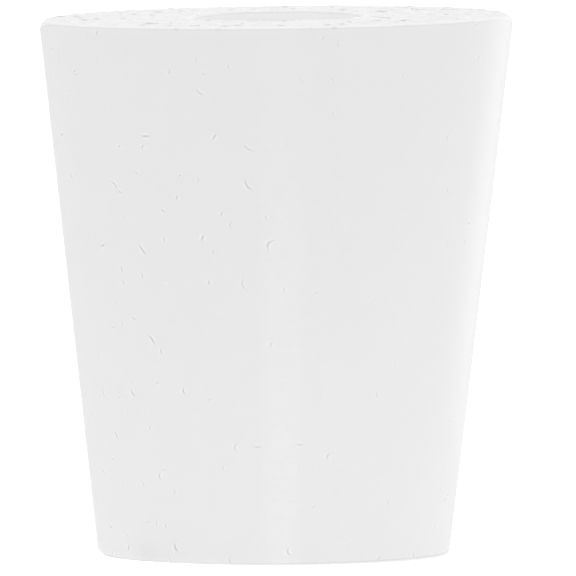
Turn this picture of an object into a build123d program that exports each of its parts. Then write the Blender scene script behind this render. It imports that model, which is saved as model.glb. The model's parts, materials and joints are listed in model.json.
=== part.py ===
"""One-hole laboratory stopper: a tapered plug moulded in one piece from white silicone rubber.

It closes the neck of a filter flask and grips the stem of a funnel in its bore.
Millimetres, +Z up. The origin is the centre of the small end face, which goes into the flask
first, so the stopper stands on its small end with the large end up, as it does in use.
"""
from build123d import *
import os

# Driving dimensions
TOP_DIAMETER = 24.0  # large end, where the side and the end face would meet sharp
BASE_DIAMETER = 17.7  # small end, likewise
HEIGHT = 27.35  # end face to end face
BORE_DIAMETER = 8.3  # wall of the straight through hole

# Edge roundings that the mould leaves
TOP_RIM_RADIUS = 0.3
BASE_RIM_RADIUS = 0.12
BORE_LIP_RADIUS = 0.15


def rim_of(part, end, rank):
    """One circular edge of an end face: end 0 is the base and -1 the top, rank 0 is the bore's."""
    return part.edges().filter_by(GeomType.CIRCLE).group_by(Axis.Z)[end].sort_by(SortBy.RADIUS)[rank]


with BuildPart() as stopper_body:
    # The taper: half of the section, turned about the axis
    with BuildSketch(Plane.XZ):
        with BuildLine():
            Polyline(
                (0, 0),
                (BASE_DIAMETER / 2, 0),
                (TOP_DIAMETER / 2, HEIGHT),
                (0, HEIGHT),
                close=True,
            )
        make_face()
    revolve(axis=Axis.Z)

    # The bore, straight through from end face to end face
    with Locations(Plane.XY.offset(HEIGHT)):
        Hole(radius=BORE_DIAMETER / 2)

    # Rounded edges: the outer rim of each end, then the two lips of the bore
    fillet(rim_of(stopper_body, -1, -1), radius=TOP_RIM_RADIUS)
    fillet(rim_of(stopper_body, 0, -1), radius=BASE_RIM_RADIUS)
    for end in (0, -1):
        fillet(rim_of(stopper_body, end, 0), radius=BORE_LIP_RADIUS)

stopper_body.part.label = "stopper_body"

os.makedirs("parts", exist_ok=True)
export_step(stopper_body.part, "parts/stopper_body.step")
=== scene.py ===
"""The stopper's looks: one piece of white silicone rubber, turned from its own section.

The CAD node gives the place and the size. This script makes the moulded surface: a large end whose
rim is crisp in front and rounder behind, end faces that aren't quite square to the axis, a trimmed
stretch of the small end's edge, and the satin side, grainy large end and drawn bore of a moulded
stopper.

Places and shapes are in metres, written as millimetres times MM. The materials work in millimetres.
Azimuths are counted from +X, and the camera stands at -90 degrees. Soil says how much darker a point
is than clean rubber, from dirt and from painted shade; below 0 the point is lighter, a painted highlight.
"""
import json
import math

import bpy
import numpy as np
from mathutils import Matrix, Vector, noise


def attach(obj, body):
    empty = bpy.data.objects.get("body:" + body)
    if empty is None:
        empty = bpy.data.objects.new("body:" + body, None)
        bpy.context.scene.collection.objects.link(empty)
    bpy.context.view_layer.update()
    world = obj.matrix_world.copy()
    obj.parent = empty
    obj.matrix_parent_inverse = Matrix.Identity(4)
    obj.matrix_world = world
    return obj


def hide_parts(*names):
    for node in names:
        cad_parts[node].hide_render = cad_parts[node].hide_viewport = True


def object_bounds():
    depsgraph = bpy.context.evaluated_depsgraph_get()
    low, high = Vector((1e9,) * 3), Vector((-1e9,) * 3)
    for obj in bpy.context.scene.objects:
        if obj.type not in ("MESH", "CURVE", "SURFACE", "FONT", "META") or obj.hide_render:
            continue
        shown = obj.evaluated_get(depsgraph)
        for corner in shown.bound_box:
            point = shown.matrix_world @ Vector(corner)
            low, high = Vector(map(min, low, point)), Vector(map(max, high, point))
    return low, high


MM = 0.001

# What the frame gives: the box of the CAD model, and the bore that a funnel's stem goes into
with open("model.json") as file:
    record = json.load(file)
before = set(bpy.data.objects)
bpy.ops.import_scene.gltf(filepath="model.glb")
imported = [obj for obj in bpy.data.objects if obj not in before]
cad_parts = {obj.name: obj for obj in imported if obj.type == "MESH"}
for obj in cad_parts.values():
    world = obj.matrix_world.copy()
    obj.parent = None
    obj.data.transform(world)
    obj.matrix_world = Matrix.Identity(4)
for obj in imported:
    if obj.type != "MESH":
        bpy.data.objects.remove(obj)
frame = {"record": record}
cad_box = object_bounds()
HEIGHT = cad_box[1].z
TOP_EDGE = cad_box[1].x
bore_mount = next(mount for mount in frame["record"]["mounts"] if mount["kind"] == "bore")
BORE_RADIUS = bore_mount["dims"]["r_mm"] * MM

# The outside
BASE_RADIUS = 8.85 * MM
TOP_RIM = (0.08 * MM, 0.55 * MM)  # rounding of the large end's rim in front and behind
TOP_RIM_TURN = (-0.38, 0.05)  # sine of the azimuths between which the one turns into the other
BASE_RIM = 0.08 * MM
TRIM_SIZE = 0.20 * MM  # extra rounding of the small end's rim where the moulding was trimmed
TRIM_AZIMUTH = math.radians(180)
TRIM_HALF_ANGLE = math.radians(40)
TOP_TILT = math.radians(0.69)  # each end face is a little higher towards +X
BASE_TILT = math.radians(0.42)
LEAN = 0.13 * MM  # how far the small end's outside is off the axis, towards -X

# The bore and the part of the large end's face around it
BORE_ASIDE = 0.08 * MM  # how far the bore is off the axis, towards +X
BORE_LIP = 0.15 * MM
LIP_RADIUS = BORE_RADIUS + BORE_LIP
MOUTH_WIDTH = 1.2 * MM
MOUTH_LEVEL = (-0.10 * MM, 0.10 * MM)  # of the bore's edge, above the face, in front and behind

# How finely the section is cut
AZIMUTH_STEPS = 576
BASE_STEPS = 8
RIM_STEPS = 8
SIDE_STEPS = 40
TOP_STEPS = 68
MOUTH_STEPS = 12
LIP_STEPS = 6
BORE_STEPS = 14

# Unevenness that the mould leaves: depth and length of its waves
SIDE_WAVE = (0.006 * MM, 7.0 * MM)
FACE_WAVE = (0.04 * MM, 4.0 * MM)
FACE_GRAIN = (0.08 * MM, 0.2 * MM)
UNEVENNESS_GAIN = 0.6  # spreads the noise over 0 to 1 without cutting off much of it
RELIEF_START = 0.9  # share of the height where the large end's relief starts to come in
SMOOTH_DEPTH = 0.10 * MM  # of the smooth parts of the face below the grain's highest level
LIP_MARGIN = 0.7 * MM  # over which the grainy face becomes smooth towards the bore
RIM_MARGIN = 1.0 * MM  # and towards the rim

# Specks that stand up from the large end's face. Levels are of the unevenness, from a speck's foot
# to its top.
GRIT_HEIGHT = 0.05 * MM
GRIT_LENGTH = 0.60 * MM
DARK_GRIT = (0.80, 0.86)
LIGHT_GRIT = (0.73, 0.80)

# Soil and painted light. The line below the large end's rim is painted shade, with darker chips along
# that line.
SOIL_AND_SHADE_DARKNESS = 0.10  # of soil 1
DARK_GRIT_SOIL = 2.2
# The light specks are made lighter as painted glints; the dark ones are darker as dirt
LIGHT_GRIT_PAINTED_GLINT = -1.3
# Painted shade in the dips of the grain and painted light on its crests
GRAIN_PAINTED_SHADE = 2.0  # at the bottom of the grain, compared with the top of it
MOUTH_PAINTED_HIGHLIGHT = -0.8  # painted highlight: lighter around the bore
BASE_RIM_PAINTED_SHADE = 1.0  # painted shade on the edge that the stopper stands on
PARTING_WIDTH = 0.10 * MM
# The line below the large end's rim is darkened as painted shade
PARTING_PAINTED_SHADE = 0.55
CHIP_LENGTH = 0.7 * MM
CHIP_LEVEL = (0.74, 0.86)
CHIP_SOIL = 1.6

# The rubber. Sizes and heights are in millimetres.
SILICONE_IOR = 1.41
CLOUD = (3.0, 0.008)  # size of the faint large clouds in it, and how far they vary its brightness
ROUGHNESS_VARIATION = 0.1
PIT_SPACING = 0.9  # between the small pits in the end faces
PIT_RADIUS = (0.03, 0.09)  # of a pit's bottom and of its edge, as shares of that spacing
PIT_DARKNESS = 0.25
PIT_DEPTH = 0.02
DRAWN_LINE = (0.25, 0.01)  # width and height of the lines in the bore
DRAWN_STRETCH = 0.03  # their width compared with their length

# A painted reflection up the side, facing the camera, a little lighter than the rest
STREAK_AZIMUTH = math.radians(-88.5)
STREAK_HALF_ANGLE = math.radians(7.5)
PAINTED_REFLECTION_LIGHTER = (0.024, 0.006)  # at the base and at the top
STREAK_RIPPLE = 0.15  # height of the ripples across it
STREAK_RIPPLE_STRETCH = 0.2  # their height compared with their width

# The marks on the side come in groups, each around an azimuth and up to an angle from it
LEFT_SIDE = (math.radians(203), math.radians(85))
LEFT_EDGE = (math.radians(185), math.radians(35))
RIGHT_EDGE = (math.radians(-8), math.radians(35))
# Each group: where it is, share of its marks that are found elsewhere too, then in millimetres the
# cell that holds a mark, half its length and half its width, the darkest one's darkness, and a seed
MARKS = (
    (LEFT_SIDE, 0.42, 2.6, 0.42, 0.070, 0.28, 5.0),
    (LEFT_SIDE, 0.30, 1.8, 0.20, 0.060, 0.26, 17.0),
    (LEFT_EDGE, 0.0, 1.9, 0.34, 0.085, 0.26, 29.0),
    (RIGHT_EDGE, 0.0, 1.7, 0.30, 0.080, 0.20, 41.0),
)
MARK_PATCH = 4.0  # size of the patches that the marks come in
MARK_PATCH_EDGE = (0.35, 0.6)  # of the noise, from outside a patch to inside it
MARK_PATCH_SHARE = (0.3, 1.0)  # of the marks that are there, outside a patch and inside it
MARK_FULL = 0.5  # how far above a mark's own chance the likelihood of marks is, for its full strength
MARK_UPRIGHT = 0.35  # 1 for marks in every direction, 0 for upright ones
MARK_BEND = 4.0  # how far aside the most bent mark is, at 1 mm from its middle
MARK_SHORTEST = 0.3  # share of the longest one's length
MARK_FADE = 0.2  # share of a mark's half length where it starts to fade
MARK_BOTTOM = 0.3  # share of its half width that is at full depth
MARK_DEPTH = 0.006
MARK_LIP_PAINTED_HIGHLIGHT = 0.06  # painted highlight on the raised lips of a mark: how much brighter they are
MARK_LIP_EDGE = (2, 3)  # half widths from its middle where the lips start to fade and where they end

# Studio: how bright things are, where 1 is the white of the background
WHITE = (1.0, 1.0, 1.0, 1.0)
ROOM_LIGHT = 0.93
SEEN_WHITE = 1.05
OVERHEAD = (80 * MM, 9.0, (0, 0, 600 * MM))  # side of the soft light, its brightness and its place
RIGHT = (44 * MM, 0.64, (60 * MM, 67 * MM, 22 * MM))

# The floor, and two round pools of light painted on it as glow, that fade from one distance to the other
FLOOR_HALF = 3.0
FLOOR_WHITENESS = 0.5
POOL_MIDDLE = (5 * MM, -20 * MM, 0)
POOL_EDGE = (12 * MM, 55 * MM)
POOL_GLOW = (0.58, 0.43)  # in the pool before the stopper, and away from it
SIDE_POOL_MIDDLE = (45 * MM, 50 * MM, 0)
SIDE_POOL_EDGE = (10 * MM, 45 * MM)
SIDE_POOL_GLOW = (0.25, 0.0)
FLOOR_GLOW_SEEN = 0.40  # more, as the camera sees it
FLOOR_PAINTED_SHADOW = (0.5, 1.0)  # painted shadow: share of the glow that is left under the stopper and beside it
FLOOR_PAINTED_SHADOW_EDGE = (BASE_RADIUS - 0.2 * MM, BASE_RADIUS)

# The camera's place, the width of what it sees at the stopper's axis, and where the axis stands
CAMERA_DISTANCE = 1170 * MM
CAMERA_HEIGHT = 81 * MM
CAMERA_FIELD = 28.96 * MM
CAMERA_SENSOR = 36.0
AXIS_LEFT = 0.58 * MM  # of the middle of the frame
MIDDLE_ABOVE = 0.28 * MM


# ---------------------------------------------------------------- mesh

def even(count):
    """Shares from 0 up to but not including 1."""
    return np.arange(count) / count


def eased(count):
    """Shares from 0 up to but not including 1, closer together near both ends."""
    return 0.5 - 0.5 * np.cos(math.pi * even(count))


def smooth_step(value, low, high):
    """0 below low, 1 above high, and an eased rise between them."""
    share = np.clip((value - low) / (high - low), 0, 1)
    return share * share * (3 - 2 * share)


def bump(angle, centre, half_width):
    """1 at centre, falling smoothly to 0 at half_width on both sides of it."""
    away = np.abs((angle - centre + math.pi) % (2 * math.pi) - math.pi)
    return np.where(away < half_width, 0.5 + 0.5 * np.cos(math.pi * away / half_width), 0.0)


def around(radius, azimuth, height):
    """Points at those radii, azimuths and heights, with x, y and z on the last axis."""
    return np.stack([radius * np.cos(azimuth), radius * np.sin(azimuth), height], axis=-1)


def unevenness(points, length):
    """Smooth noise from 0 to 1, the same on every run."""
    values = [noise.noise(Vector(point / length)) for point in points.reshape(-1, 3)]
    return np.clip(0.5 + UNEVENNESS_GAIN * np.reshape(values, points.shape[:-1]), 0, 1)


def specks(value, foot, top):
    """0 between the specks and 1 on top of them, for specks that stand where value is high."""
    return np.clip((value - foot) / (top - foot), 0, 1)


def face_relief(points):
    """How far the large end's face lies below its highest level, and its soil, painted glints and painted
    shade.
    """
    wave_depth, wave_length = FACE_WAVE
    grain_depth, grain_length = FACE_GRAIN
    wave = unevenness(points, wave_length)
    grain = unevenness(points, grain_length)
    spread = unevenness(points, GRIT_LENGTH)
    dark = specks(spread, *DARK_GRIT)
    light = specks(1 - spread, *LIGHT_GRIT)
    depth = wave_depth * wave + grain_depth * grain + GRIT_HEIGHT * (1 - dark - light)
    soil_and_painted_light = DARK_GRIT_SOIL * dark + LIGHT_GRIT_PAINTED_GLINT * light + GRAIN_PAINTED_SHADE * (grain - 0.5)
    return depth, soil_and_painted_light


class Section:
    """The stopper's section at every azimuth: rings of (radius, height), and what each ring starts."""

    def __init__(self, azimuth):
        self.azimuth = azimuth
        self.rings = []
        self.surfaces = []
        self.soil_and_painted_light = []

    def ring(self, radius, height, surface, soil_and_painted_light=0.0):
        flat = np.zeros_like(self.azimuth)
        self.rings.append((radius + flat, height + flat))
        self.surfaces.append(surface)
        self.soil_and_painted_light.append(soil_and_painted_light + flat)

    def line(self, start, end, shares, surface, soil_and_painted_light=0.0):
        """A straight stretch, with a ring at each share of the way."""
        for share in shares:
            radius, height = (a + (b - a) * share for a, b in zip(start, end))
            self.ring(radius, height, surface, soil_and_painted_light)

    def arc(self, centre, size, turn, steps, surface, flatness=0.0, soil_and_painted_light=0.0):
        """A rounding without its last point, pulled towards its chord by flatness."""
        ends = np.array([[math.cos(angle), math.sin(angle)] for angle in turn])
        for step in range(steps):
            share = step / steps
            angle = turn[0] + (turn[1] - turn[0]) * share
            chord = ends[0] * (1 - share) + ends[1] * share
            radial = math.cos(angle) + (chord[0] - math.cos(angle)) * flatness
            upward = math.sin(angle) + (chord[1] - math.sin(angle)) * flatness
            self.ring(centre[0] + size * radial, centre[1] + size * upward, surface, soil_and_painted_light)


def side_slope(sharpest_rim):
    """How much the side's radius grows with height, so that the sharpest rim just reaches the CAD box."""
    slope = (TOP_EDGE - BASE_RADIUS) / HEIGHT
    rise = math.atan(slope)
    top_radius = TOP_EDGE + sharpest_rim * (slope + 1 / math.cos(rise) - 1)
    return (top_radius - BASE_RADIUS) / HEIGHT


def stopper_section(azimuth):
    """Out along the base, up the side, in along the top and down the bore."""
    sharpest, roundest = TOP_RIM
    top_rim = sharpest + (roundest - sharpest) * smooth_step(np.sin(azimuth), *TOP_RIM_TURN)
    trim = bump(azimuth, TRIM_AZIMUTH, TRIM_HALF_ANGLE)
    base_rim = BASE_RIM + TRIM_SIZE * trim

    slope = side_slope(sharpest)
    rise = math.atan(slope)
    out, up = math.cos(rise), -math.sin(rise)  # square to the side

    def rim_centre(height, size):
        return BASE_RADIUS + height * slope - size / math.cos(rise), height

    base_centre = rim_centre(base_rim, base_rim)
    top_centre = rim_centre(HEIGHT - top_rim, top_rim)
    side_start = (base_centre[0] + base_rim * out, base_centre[1] + base_rim * up)
    side_end = (top_centre[0] + top_rim * out, top_centre[1] + top_rim * up)
    parting = (side_end[0] + PARTING_WIDTH * up, side_end[1] - PARTING_WIDTH * out)

    foot = LIP_RADIUS + MOUTH_WIDTH
    front, behind = MOUTH_LEVEL
    mouth = HEIGHT + front + (behind - front) * (1 + np.sin(azimuth)) / 2

    # A chip is as dark as the rim is sharp
    edge = around(TOP_EDGE, azimuth, np.zeros_like(azimuth))
    chips = specks(unevenness(edge, CHIP_LENGTH), *CHIP_LEVEL)
    chip_soil = CHIP_SOIL * chips * sharpest / top_rim

    section = Section(azimuth)
    section.line((LIP_RADIUS, 0), (base_centre[0], 0), eased(BASE_STEPS), "end")
    # The edge it stands on is darkened as painted shade
    section.arc(base_centre, base_rim, (-math.pi / 2, -rise), RIM_STEPS, "rim", trim, BASE_RIM_PAINTED_SHADE)
    section.line(side_start, parting, eased(SIDE_STEPS), "side")
    section.ring(*parting, "side")
    # A painted shade line below the rim, with darker chips along it
    section.line(parting, side_end, (1 / 3, 2 / 3), "side", PARTING_PAINTED_SHADE + chip_soil)
    section.arc(top_centre, top_rim, (-rise, math.pi / 2), RIM_STEPS, "rim", soil_and_painted_light=chip_soil)
    section.line((top_centre[0], HEIGHT), (foot, HEIGHT), even(TOP_STEPS), "end")
    section.line((foot, HEIGHT), (LIP_RADIUS, mouth), eased(MOUTH_STEPS), "end")
    section.arc((LIP_RADIUS, mouth - BORE_LIP), BORE_LIP, (math.pi / 2, math.pi), LIP_STEPS, "lip")
    section.line((BORE_RADIUS, mouth - BORE_LIP), (BORE_RADIUS, BORE_LIP), eased(BORE_STEPS), "bore")
    section.arc((LIP_RADIUS, BORE_LIP), BORE_LIP, (math.pi, 1.5 * math.pi), LIP_STEPS, "lip")
    return section


def tilted(x, height):
    """The height of a point between the tilted end faces that was between level ones."""
    low = math.tan(BASE_TILT) * (BASE_RADIUS + x)
    high = HEIGHT - math.tan(TOP_TILT) * (TOP_EDGE - x)
    return low + (high - low) * height / HEIGHT


def stopper_points(section):
    """The section turned about the axis and made uneven, as [ring, azimuth, xyz], and its soil and
    painted light.

    Waves and relief only take material away, so the stopper stays in its CAD box.
    """
    radius, height = np.moveaxis(np.array(section.rings), 1, 0)
    straight = around(radius, section.azimuth, height)
    outside = np.clip((radius - LIP_RADIUS) / (BASE_RADIUS - LIP_RADIUS), 0, 1)

    wave_depth, wave_length = SIDE_WAVE
    radius = radius - outside * wave_depth * unevenness(straight, wave_length)

    near_top = np.clip((height / HEIGHT - RELIEF_START) / (1 - RELIEF_START), 0, 1)
    near_lip = 1 - smooth_step(radius, LIP_RADIUS, LIP_RADIUS + LIP_MARGIN)
    near_rim = smooth_step(radius, TOP_EDGE - RIM_MARGIN, TOP_EDGE)
    rough = (1 - near_lip) * (1 - near_rim)
    relief_depth, relief_soil_and_painted_light = face_relief(straight)
    height = height - near_top * (relief_depth * rough + SMOOTH_DEPTH * (1 - rough))
    on_face = np.array([surface == "end" for surface in section.surfaces])[:, None] * near_top
    # On the face: painted shade and light in the grain, painted glints on light specks, and a painted
    # highlight around the bore
    soil_and_painted_light = np.array(section.soil_and_painted_light) + on_face * (rough * relief_soil_and_painted_light + near_lip * MOUTH_PAINTED_HIGHLIGHT)

    points = around(radius, section.azimuth, height)
    points[..., 2] = tilted(points[..., 0], height)
    points[..., 0] += (1 - outside) * BORE_ASIDE - outside * LEAN * (1 - points[..., 2] / HEIGHT)
    return points, soil_and_painted_light


def stopper_mesh(materials):
    """The closed mesh, with one material for each kind of surface."""
    azimuth = 2 * math.pi * even(AZIMUTH_STEPS)
    section = stopper_section(azimuth)
    points, soil_and_painted_light = stopper_points(section)
    ring_count = len(section.surfaces)
    ring, step = np.meshgrid(np.arange(ring_count), np.arange(AZIMUTH_STEPS), indexing="ij")
    next_ring = (ring + 1) % ring_count * AZIMUTH_STEPS
    next_step = (step + 1) % AZIMUTH_STEPS
    this_ring = ring * AZIMUTH_STEPS
    corners = [this_ring + step, this_ring + next_step, next_ring + next_step, next_ring + step]
    faces = np.stack(corners, axis=-1).reshape(-1, 4)

    mesh = bpy.data.meshes.new("silicone_stopper")
    mesh.from_pydata(points.reshape(-1, 3).tolist(), [], faces.tolist())
    for material in materials.values():
        mesh.materials.append(material)
    slots = [list(materials).index(surface) for surface in section.surfaces]
    mesh.polygons.foreach_set("material_index", np.repeat(slots, AZIMUTH_STEPS))
    mesh.polygons.foreach_set("use_smooth", np.ones(len(faces), bool))
    mesh.attributes.new("soil_and_painted_light", "FLOAT", "POINT").data.foreach_set("value", soil_and_painted_light.ravel())
    mesh.update()
    return mesh


# ---------------------------------------------------------------- materials

class Nodes:
    """A short way to write a node tree: each call adds a node and returns one of its outputs."""

    def __init__(self, tree):
        self.tree = tree
        tree.nodes.clear()

    def add(self, kind, inputs=None, output=0, **settings):
        node = self.tree.nodes.new(kind)
        for name, value in settings.items():
            setattr(node, name, value)
        for key, value in (inputs or {}).items():
            if isinstance(value, bpy.types.NodeSocket):
                self.tree.links.new(value, node.inputs[key])
            else:
                node.inputs[key].default_value = value
        return node.outputs[output] if node.outputs else None

    def math(self, operation, *values):
        return self.add("ShaderNodeMath", dict(enumerate(values)), operation=operation)

    def vector(self, operation, *values):
        output = 1 if operation in ("DOT_PRODUCT", "LENGTH", "DISTANCE") else 0
        return self.add("ShaderNodeVectorMath", dict(enumerate(values)), output, operation=operation)

    def ramp(self, value, low, high, low_result=0.0, high_result=1.0):
        """value from low to high becomes low_result to high_result, with eased ends."""
        inputs = {0: value, 1: low, 2: high, 3: low_result, 4: high_result}
        return self.add("ShaderNodeMapRange", inputs, interpolation_type="SMOOTHSTEP")

    def noise(self, place, size, detail=2.0):
        return self.add("ShaderNodeTexNoise", {"Vector": place, "Scale": 1 / size, "Detail": detail})

    def cells(self, place, size):
        """The outputs of a pattern of cells: Distance from the cell's middle, its Color and Position."""
        return self.add("ShaderNodeTexVoronoi", {"Vector": place, "Scale": 1 / size}).node.outputs

    def vary(self, value, amount):
        """1 on average, moved up and down by amount as value goes from 0 to 1."""
        return self.math("MULTIPLY_ADD", value, 2 * amount, 1 - amount)


def facing(azimuth):
    """The direction straight out from the axis at that azimuth."""
    return (math.cos(azimuth), math.sin(azimuth), 0.0)


def bent_marks(nodes, place, normal, cell, half_length, half_width, seed):
    """Short bent marks scattered over the surface: where they are, where they and their lips are,
    and each mark's chance.

    A mark is a strip through the middle of its cell, along a random and mostly upright tangent, and
    bent by a random amount.
    """
    moved = nodes.vector("ADD", place, (seed, seed, seed))
    cells = nodes.cells(moved, cell)
    offset = nodes.vector("SUBTRACT", moved, cells["Position"])
    heading = nodes.vector("SUBTRACT", cells["Color"], (0.5, 0.5, 0.5))
    heading = nodes.vector("MULTIPLY", heading, (1.0, 1.0, MARK_UPRIGHT))
    along = nodes.vector("NORMALIZE", nodes.vector("CROSS_PRODUCT", normal, heading))
    across = nodes.vector("CROSS_PRODUCT", normal, along)
    run = nodes.vector("DOT_PRODUCT", offset, along)
    drift = nodes.vector("DOT_PRODUCT", offset, across)

    chance = nodes.add("ShaderNodeSeparateXYZ", {0: cells["Color"]}).node.outputs
    bend = nodes.math("MULTIPLY_ADD", chance[0], 2 * MARK_BEND, -MARK_BEND)
    bow = nodes.math("MULTIPLY", bend, nodes.math("MULTIPLY", run, run))
    off_line = nodes.math("ABSOLUTE", nodes.math("ADD", drift, bow))
    shortest = MARK_SHORTEST * half_length
    reach = nodes.math("MULTIPLY_ADD", chance[1], half_length - shortest, shortest)
    beyond = nodes.math("DIVIDE", nodes.math("ABSOLUTE", run), reach)
    in_length = nodes.ramp(beyond, MARK_FADE, 1.0, 1.0, 0.0)
    in_groove = nodes.ramp(off_line, MARK_BOTTOM * half_width, half_width, 1.0, 0.0)
    in_lips = nodes.ramp(off_line, *(half_width * edge for edge in MARK_LIP_EDGE), 1.0, 0.0)
    groove = nodes.math("MULTIPLY", in_groove, in_length)
    wide = nodes.math("MULTIPLY", in_lips, in_length)
    return groove, wide, chance[2]


def painted_reflection_band(nodes, place, outward):
    """How much lighter than the rest the side is, along a painted reflection up it that faces the camera.
    """
    upward = nodes.vector("DOT_PRODUCT", place, (0.0, 0.0, MM / HEIGHT))
    in_streak = nodes.vector("DOT_PRODUCT", outward, facing(STREAK_AZIMUTH))
    streak = nodes.ramp(in_streak, math.cos(STREAK_HALF_ANGLE), 1.0)
    flattened = nodes.vector("MULTIPLY", place, (STREAK_RIPPLE_STRETCH, STREAK_RIPPLE_STRETCH, 1.0))
    ripple = nodes.vary(nodes.noise(flattened, STREAK_RIPPLE), 1.0)
    lighter = nodes.math("MULTIPLY", ripple, nodes.ramp(upward, 0.0, 1.0, *PAINTED_REFLECTION_LIGHTER))
    return nodes.math("MULTIPLY_ADD", streak, lighter, 1.0)


def side_finish(nodes, place, normal, shade, height):
    """A faint painted reflection up the side, and groups of small marks with painted highlights on their
    lips.
    """
    outward = nodes.vector("NORMALIZE", nodes.vector("MULTIPLY", place, (1.0, 1.0, 0.0)))
    shade = nodes.math("MULTIPLY", shade, painted_reflection_band(nodes, place, outward))
    patches = nodes.ramp(nodes.noise(place, MARK_PATCH), *MARK_PATCH_EDGE, *MARK_PATCH_SHARE)
    for (azimuth, reach), elsewhere, cell, half_length, half_width, darkness, seed in MARKS:
        nearness = nodes.vector("DOT_PRODUCT", outward, facing(azimuth))
        likely = nodes.ramp(nearness, math.cos(reach), 1.0, elsewhere, 1.0)
        likely = nodes.math("MULTIPLY", likely, patches)
        groove, wide, chance = bent_marks(nodes, place, normal, cell, half_length, half_width, seed)
        there = nodes.ramp(nodes.math("SUBTRACT", likely, chance), 0.0, MARK_FULL)
        groove = nodes.math("MULTIPLY", groove, there)
        wide = nodes.math("MULTIPLY", wide, there)
        # Painted highlight on a mark's lips; its groove is darkened as dirt and as painted shade
        lip_highlight = nodes.math("MULTIPLY_ADD", wide, MARK_LIP_PAINTED_HIGHLIGHT, 1.0)
        shade = nodes.math("MULTIPLY", shade, nodes.math("MULTIPLY_ADD", groove, -darkness, lip_highlight))
        height = nodes.math("MULTIPLY_ADD", groove, -MARK_DEPTH, height)
    return shade, height


def end_finish(nodes, place, normal, shade, height):
    """Small dark pits in the matte end faces."""
    from_middle = nodes.cells(place, PIT_SPACING)["Distance"]
    pit = nodes.ramp(from_middle, *PIT_RADIUS, 1.0, 0.0)
    shade = nodes.math("MULTIPLY", shade, nodes.math("MULTIPLY_ADD", pit, -PIT_DARKNESS, 1.0))
    return shade, nodes.math("MULTIPLY_ADD", pit, -PIT_DEPTH, height)


def bore_finish(nodes, place, normal, shade, height):
    """Fine lines along the bore, drawn as the core pin was pulled out."""
    width, line_height = DRAWN_LINE
    stretched = nodes.vector("MULTIPLY", place, (1.0, 1.0, DRAWN_STRETCH))
    lines = nodes.noise(stretched, width)
    return shade, nodes.math("MULTIPLY_ADD", lines, line_height, height)


def silicone(name, finish, whiteness, roughness, depth, contrast, grain, relief):
    """White silicone rubber that light enters to that depth.

    Its grain has the size grain and the height relief in millimetres, and varies the brightness by
    contrast. finish adds what only that surface has.
    """
    material = bpy.data.materials.new(name)
    material.use_nodes = True
    nodes = Nodes(material.node_tree)
    in_metres = nodes.add("ShaderNodeTexCoord").node.outputs["Object"]
    place = nodes.vector("MULTIPLY", in_metres, (1 / MM, 1 / MM, 1 / MM))
    normal = nodes.add("ShaderNodeNewGeometry").node.outputs["Normal"]

    cloud_size, cloud_contrast = CLOUD
    cloud = nodes.noise(place, cloud_size, detail=3.0)
    fine = nodes.noise(place, grain)
    shade = nodes.math("MULTIPLY", nodes.vary(cloud, cloud_contrast), nodes.vary(fine, contrast))
    height = nodes.math("MULTIPLY", fine, relief)
    shade, height = finish(nodes, place, normal, shade, height)
    # Soil and painted light: dirt and painted shade darken the colour, painted highlights lighten it
    soil_and_painted_light = nodes.add("ShaderNodeAttribute", attribute_name="soil_and_painted_light").node.outputs["Fac"]
    shade = nodes.math("MULTIPLY", shade, nodes.math("MULTIPLY_ADD", soil_and_painted_light, -SOIL_AND_SHADE_DARKNESS, 1.0))

    grey = nodes.math("MULTIPLY", shade, whiteness)
    shader = nodes.add("ShaderNodeBsdfPrincipled", {
        "Base Color": nodes.add("ShaderNodeCombineColor", {0: grey, 1: grey, 2: grey}),
        "Roughness": nodes.math("MULTIPLY", nodes.vary(fine, ROUGHNESS_VARIATION), roughness),
        "IOR": SILICONE_IOR,
        "Normal": nodes.add("ShaderNodeBump", {"Strength": 1.0, "Distance": MM, "Height": height}),
        "Subsurface Weight": 1.0,
        "Subsurface Radius": (1.0, 1.0, 1.0),
        "Subsurface Scale": depth,
    })
    nodes.add("ShaderNodeOutputMaterial", {"Surface": shader})
    return material


def stopper_materials():
    """The rubber as each kind of surface shows it, by the names that the section uses."""
    return {
        "side": silicone("silicone_side", side_finish, whiteness=0.85, roughness=0.36,
                         depth=0.15 * MM, contrast=0.003, grain=0.20, relief=0.012),
        "rim": silicone("silicone_rim", side_finish, whiteness=0.85, roughness=0.30,
                        depth=0.30 * MM, contrast=0.003, grain=0.10, relief=0.0015),
        "end": silicone("silicone_end_face", end_finish, whiteness=0.88, roughness=0.50,
                        depth=0.15 * MM, contrast=0.04, grain=0.20, relief=0.03),
        # The lip is made whiter than the rest of the rubber as a painted highlight
        "lip": silicone("silicone_lip_painted_highlight", bore_finish, whiteness=0.97, roughness=0.25,
                        depth=0.15 * MM, contrast=0.005, grain=0.10, relief=0.003),
        # The bore is made whiter than the side as painted light in it
        "bore": silicone("silicone_bore_painted_light", bore_finish, whiteness=0.98, roughness=0.30,
                         depth=5.0 * MM, contrast=0.005, grain=0.10, relief=0.003),
    }


# ---------------------------------------------------------------- studio

def studio_world():
    """Even white all round. What the camera sees directly is plain white."""
    world = bpy.data.worlds.new("studio")
    bpy.context.scene.world = world
    world.use_nodes = True
    nodes = Nodes(world.node_tree)
    seen = nodes.add("ShaderNodeBackground", {"Color": WHITE, "Strength": SEEN_WHITE})
    light = nodes.add("ShaderNodeBackground", {"Color": WHITE, "Strength": ROOM_LIGHT})
    direct = nodes.add("ShaderNodeLightPath").node.outputs["Is Camera Ray"]
    mixed = nodes.add("ShaderNodeMixShader", {0: direct, 1: light, 2: seen})
    nodes.add("ShaderNodeOutputWorld", {"Surface": mixed})


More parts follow.
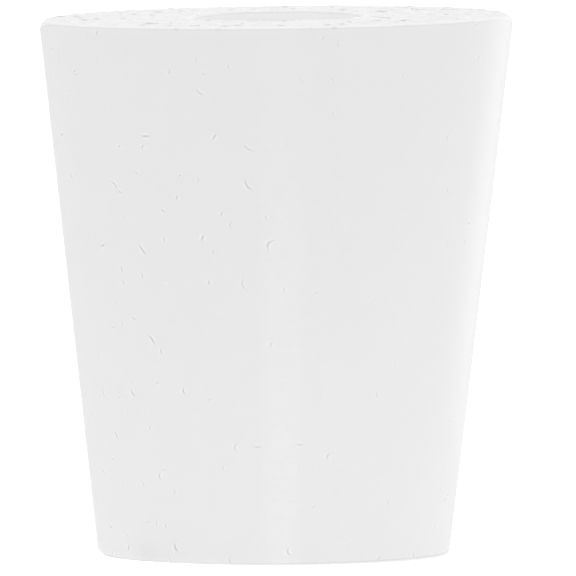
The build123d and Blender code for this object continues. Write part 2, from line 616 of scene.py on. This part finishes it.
def floor_material():
    """Pale and matte, with pools of light painted on it as glow, and a painted shadow under the stopper.
    """
    material = bpy.data.materials.new("floor")
    material.use_nodes = True
    nodes = Nodes(material.node_tree)
    in_metres = nodes.add("ShaderNodeTexCoord").node.outputs["Object"]
    from_pool = nodes.vector("DISTANCE", in_metres, POOL_MIDDLE)
    from_side_pool = nodes.vector("DISTANCE", in_metres, SIDE_POOL_MIDDLE)
    pool = nodes.ramp(from_pool, *POOL_EDGE, *POOL_GLOW)
    side_pool = nodes.ramp(from_side_pool, *SIDE_POOL_EDGE, *SIDE_POOL_GLOW)
    glow = nodes.math("ADD", pool, side_pool)
    from_axis = nodes.vector("LENGTH", in_metres)
    # A painted shadow: less glow under the stopper
    glow_left_by_painted_shadow = nodes.ramp(from_axis, *FLOOR_PAINTED_SHADOW_EDGE, *FLOOR_PAINTED_SHADOW)
    direct = nodes.add("ShaderNodeLightPath").node.outputs["Is Camera Ray"]
    seen = nodes.math("MULTIPLY", direct, FLOOR_GLOW_SEEN)
    shader = nodes.add("ShaderNodeBsdfPrincipled", {
        "Base Color": (FLOOR_WHITENESS, FLOOR_WHITENESS, FLOOR_WHITENESS, 1.0),
        "Roughness": 1.0,
        "Specular IOR Level": 0.0,
        "Emission Color": WHITE,
        "Emission Strength": nodes.math("MULTIPLY_ADD", glow, glow_left_by_painted_shadow, seen),
    })
    nodes.add("ShaderNodeOutputMaterial", {"Surface": shader})
    return material


def studio_floor():
    """A large square at the height that the stopper stands on."""
    corners = [(x * FLOOR_HALF, y * FLOOR_HALF, 0) for x, y in ((-1, -1), (1, -1), (1, 1), (-1, 1))]
    mesh = bpy.data.meshes.new("floor")
    mesh.from_pydata(corners, [], [(0, 1, 2, 3)])
    mesh.materials.append(floor_material())
    floor = bpy.data.objects.new("floor", mesh)
    bpy.context.collection.objects.link(floor)


def look_at_middle(thing, place):
    """Puts a light or camera into the scene at place, facing the middle of the stopper."""
    thing.location = place
    middle = Vector((0, 0, HEIGHT / 2))
    thing.rotation_euler = (middle - Vector(place)).to_track_quat("-Z", "Y").to_euler()
    bpy.context.collection.objects.link(thing)


def soft_light(name, size, brightness, place):
    """A square soft light of that side length."""
    data = bpy.data.lights.new(name, "AREA")
    data.shape = "SQUARE"
    data.size = size
    data.energy = brightness * math.pi * size * size
    light = bpy.data.objects.new(name, data)
    light.visible_camera = False
    look_at_middle(light, place)


def photo_camera():
    """A long lens a little above the stopper, looking along +Y."""
    data = bpy.data.cameras.new("camera")
    data.sensor_width = CAMERA_SENSOR
    data.lens = CAMERA_SENSOR * CAMERA_DISTANCE / CAMERA_FIELD
    data.shift_x = AXIS_LEFT / CAMERA_FIELD
    data.shift_y = -MIDDLE_ABOVE / CAMERA_FIELD
    data.clip_start = CAMERA_DISTANCE / 10
    data.clip_end = CAMERA_DISTANCE * 10
    camera = bpy.data.objects.new("camera", data)
    look_at_middle(camera, (0, -CAMERA_DISTANCE, CAMERA_HEIGHT))
    bpy.context.scene.camera = camera


# ---------------------------------------------------------------- the scene

stopper = bpy.data.objects.new("silicone_stopper", stopper_mesh(stopper_materials()))
bpy.context.collection.objects.link(stopper)
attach(stopper, "root")
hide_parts("stopper_body")

studio_world()
studio_floor()
soft_light("overhead", *OVERHEAD)
soft_light("right", *RIGHT)
photo_camera()
bpy.context.scene.view_settings.view_transform = "Standard"
